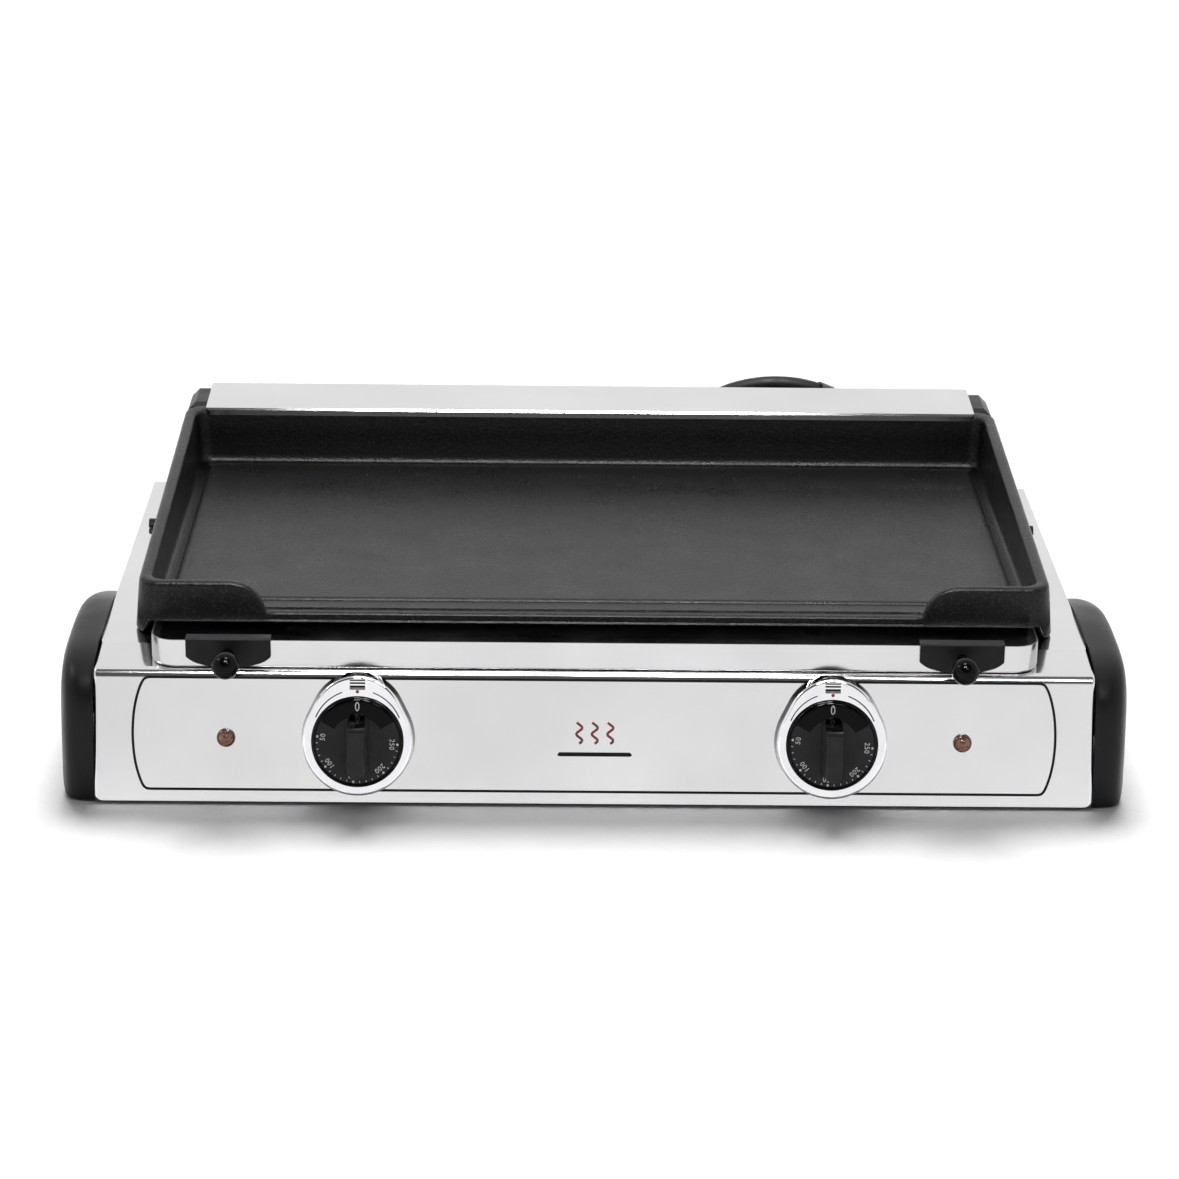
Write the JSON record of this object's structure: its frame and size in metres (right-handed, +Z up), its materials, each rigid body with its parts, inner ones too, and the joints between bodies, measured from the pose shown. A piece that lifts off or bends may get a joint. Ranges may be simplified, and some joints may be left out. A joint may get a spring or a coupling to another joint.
{
  "type": "flat top griddle",
  "caption": "Counter-top electric griddle with two heating zones, a walled cast plate, a pull-out drip tray, two thermostat knobs and plastic side covers.",
  "frame": {"origin": "middle of the underside, where the four rubber feet stand", "axes": "+X to the right seen from the front, +Y to the back, +Z up"},
  "size_m": [0.6208, 0.5261, 0.1362],
  "materials": {
    "ball_black": "gloss phenolic",
    "bezel_chrome": "mirror",
    "black_screw": "satin",
    "copper_bulb": "satin copper",
    "cover_plastic": "fine moulded grain",
    "dial_black": "satin with printed scale",
    "element_sheath": "oxidised",
    "galvanised_steel": "satin",
    "grip_black": "satin",
    "handle_black": "satin black",
    "housing_black": "satin black",
    "lamp_amber": "translucent gloss",
    "lamp_housing": "moulded",
    "nut_plastic": "moulded",
    "pin_brass": "nickel plated",
    "plate_enamel": "satin cast texture",
    "plug_black": "moulded grain",
    "pointer_red": "gloss",
    "rubber_black": "matt",
    "screw_steel": "zinc plated",
    "shaft_steel": "satin",
    "stainless_polished": "polished",
    "terminal_ceramic": "matt",
    "thermostat_case": "moulded",
    "wire_insulation": "glass braid"
  },
  "bodies": {
    "chassis": {"base_plate": "galvanised_steel", "base_screws": "screw_steel", "bezel_left": "bezel_chrome", "bezel_right": "bezel_chrome", "casing_shell": "stainless_polished", "clamp_bars": "galvanised_steel", "clamp_bolts": "screw_steel", "cord_coil": "rubber_black", "cord_gland": "rubber_black", "cord_tie": "nut_plastic", "cover_screws": "screw_steel", "earth_stud": "screw_steel", "foot_screws": "screw_steel", "gland_nut": "nut_plastic", "griddle_plate": "plate_enamel", "heating_element_left": "element_sheath", "heating_element_right": "element_sheath", "lamp_body_left": "lamp_housing", "lamp_body_right": "lamp_housing", "lamp_lens_left": "lamp_amber", "lamp_lens_right": "lamp_amber", "plate_side_screws": "black_screw", "plate_tie_nuts": "screw_steel", "plate_tie_studs": "screw_steel", "plug_body": "plug_black", "plug_pins": "pin_brass", "pointer_dots": "pointer_red", "power_cord": "rubber_black", "rear_housing": "housing_black", "rear_panel": "stainless_polished", "rear_screws": "screw_steel", "rear_shelf": "stainless_polished", "reflector": "galvanised_steel", "rubber_feet": "rubber_black", "sensing_bulb_left": "copper_bulb", "sensing_bulb_right": "copper_bulb", "shelf_brackets": "galvanised_steel", "side_cover_left": "cover_plastic", "side_cover_right": "cover_plastic", "terminal_block": "terminal_ceramic", "thermostat_left": "thermostat_case", "thermostat_right": "thermostat_case", "thermostat_screws": "screw_steel", "wiring": "wire_insulation"},
    "drip_tray": {"drip_tray": "stainless_polished", "handle_screws": "screw_steel", "tray_handle_left": "handle_black", "tray_handle_right": "handle_black", "ball_knob_left": "ball_black", "ball_knob_right": "ball_black"},
    "knob_left": {"dial_left": "dial_black", "knob_grip_left": "grip_black", "knob_shaft_left": "shaft_steel"},
    "knob_right": {"dial_right": "dial_black", "knob_grip_right": "grip_black", "knob_shaft_right": "shaft_steel"}
  },
  "joints": [
    {"name": "knob_left_turn", "type": "hinge", "parent": "chassis", "child": "knob_left", "pos_m": [-0.137, -0.1848, 0.03868], "axis": [0, 0.9781, -0.2079], "range_deg": [0, 270]},
    {"name": "knob_right_turn", "type": "hinge", "parent": "chassis", "child": "knob_right", "pos_m": [0.137, -0.1848, 0.03868], "axis": [0, 0.9781, -0.2079], "range_deg": [0, 270]},
    {"name": "tray_slide", "type": "slide", "parent": "chassis", "child": "drip_tray", "axis": [0, -1, 0], "range_m": [0, 0.075]}
  ]
}
